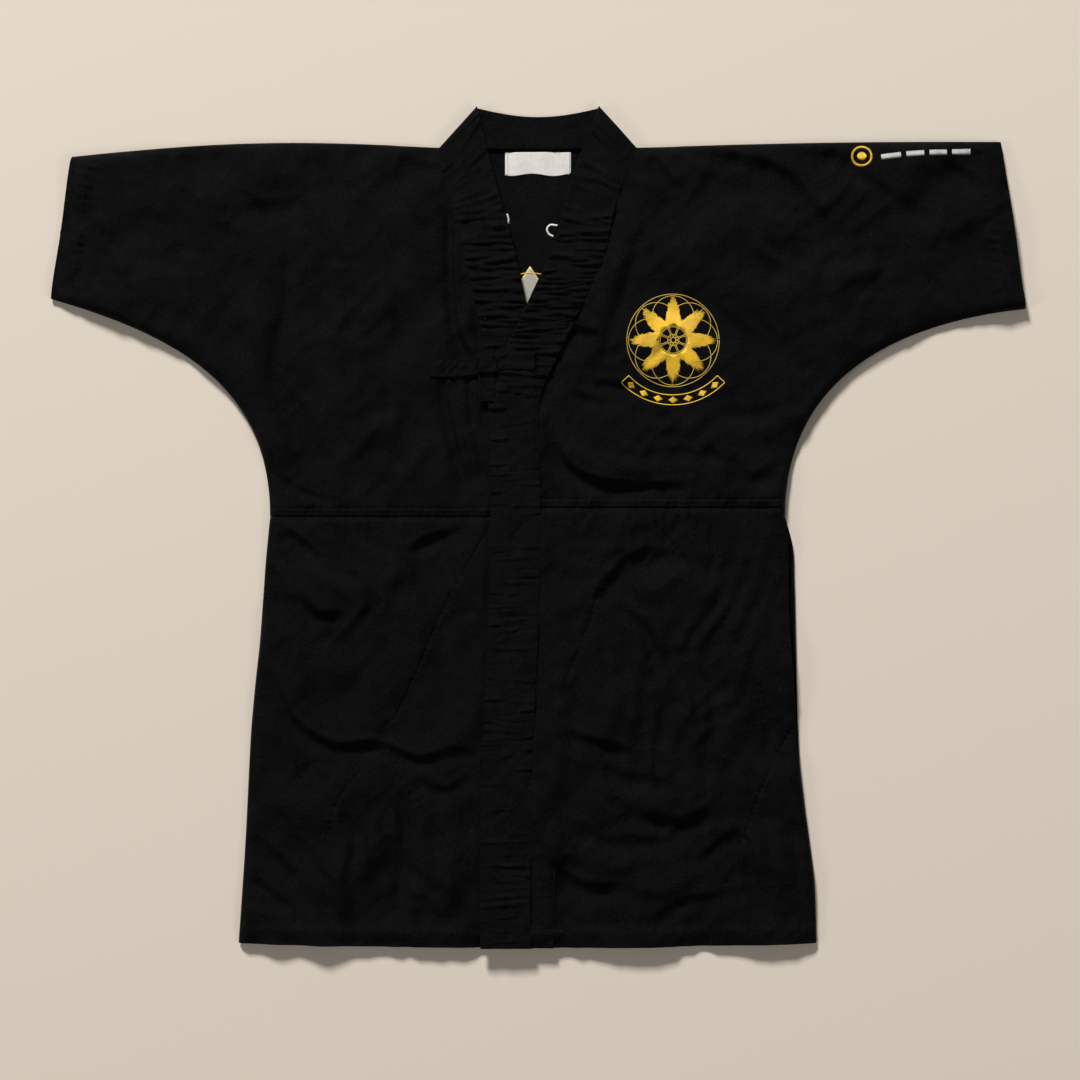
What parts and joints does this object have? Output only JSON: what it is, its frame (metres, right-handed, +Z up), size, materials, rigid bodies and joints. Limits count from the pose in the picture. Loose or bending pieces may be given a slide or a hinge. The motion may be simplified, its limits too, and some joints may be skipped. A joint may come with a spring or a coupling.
{
  "type": "martial arts uniform jacket",
  "caption": "Short-sleeved wrap-front martial arts jacket in black canvas, laid flat; its left front folds back and its tie strap turns back.",
  "frame": {"origin": "under the middle of the jacket laid on its back, on the floor", "axes": "+X to the wearer's left, +Y to the collar, +Z up, away from the floor"},
  "size_m": [0.976, 0.8422, 0.0175],
  "materials": {
    "canvas": "matt black cotton canvas",
    "tape": "matt black seam allowance",
    "interlining": "natural cotton interlining",
    "label_satin": "woven off-white label",
    "yellow_thread": "yellow embroidery thread"
  },
  "bodies": {
    "root": {"back_upper": "canvas", "back_skirt": "canvas", "back_waist_seam": "canvas", "back_hem": "canvas", "back_emblem_backing": "interlining", "right_front_upper": "canvas", "right_front_skirt": "canvas", "right_waist_seam": "canvas", "right_hem": "canvas", "left_front_upper": "canvas", "left_front_skirt": "canvas", "left_waist_seam": "canvas", "left_hem": "canvas", "right_band": "canvas", "right_band_core": "interlining", "left_band_neck": "canvas", "left_band_neck_core": "interlining", "collar_back": "canvas", "collar_back_core": "interlining", "right_side_seam": "tape", "left_side_seam": "tape", "right_skirt_seam": "tape", "left_skirt_seam": "tape", "right_shoulder_tape": "tape", "left_shoulder_tape": "tape", "right_cuff_hem_back": "canvas", "right_cuff_hem_front": "canvas", "left_cuff_hem_back": "canvas", "left_cuff_hem_front": "canvas", "right_tie_anchor": "canvas", "neck_label": "label_satin", "chest_emblem": "yellow_thread", "chest_banner": "yellow_thread", "sleeve_ring": "yellow_thread"},
    "left_lapel": {"left_lapel_upper": "canvas", "left_lapel_skirt": "canvas", "left_lapel_waist_seam": "canvas", "left_lapel_hem": "canvas", "left_band": "canvas", "left_band_core": "interlining", "tie_knot": "canvas", "tie_end_down": "canvas", "tie_end_across": "canvas"},
    "tie_strap": {"right_tie_strap": "canvas"}
  },
  "joints": [
    {"name": "left_lapel_fold", "type": "hinge", "parent": "root", "child": "left_lapel", "pos_m": [-0.01155, 0.2225, 0.0163], "axis": [-0.196, 0.9806, 0], "range_deg": [0, 175]},
    {"name": "tie_strap_fold", "type": "hinge", "parent": "root", "child": "tie_strap", "pos_m": [-0.09502, 0.161, 0.0122], "axis": [0, -1, 0], "range_deg": [0, 150]}
  ]
}
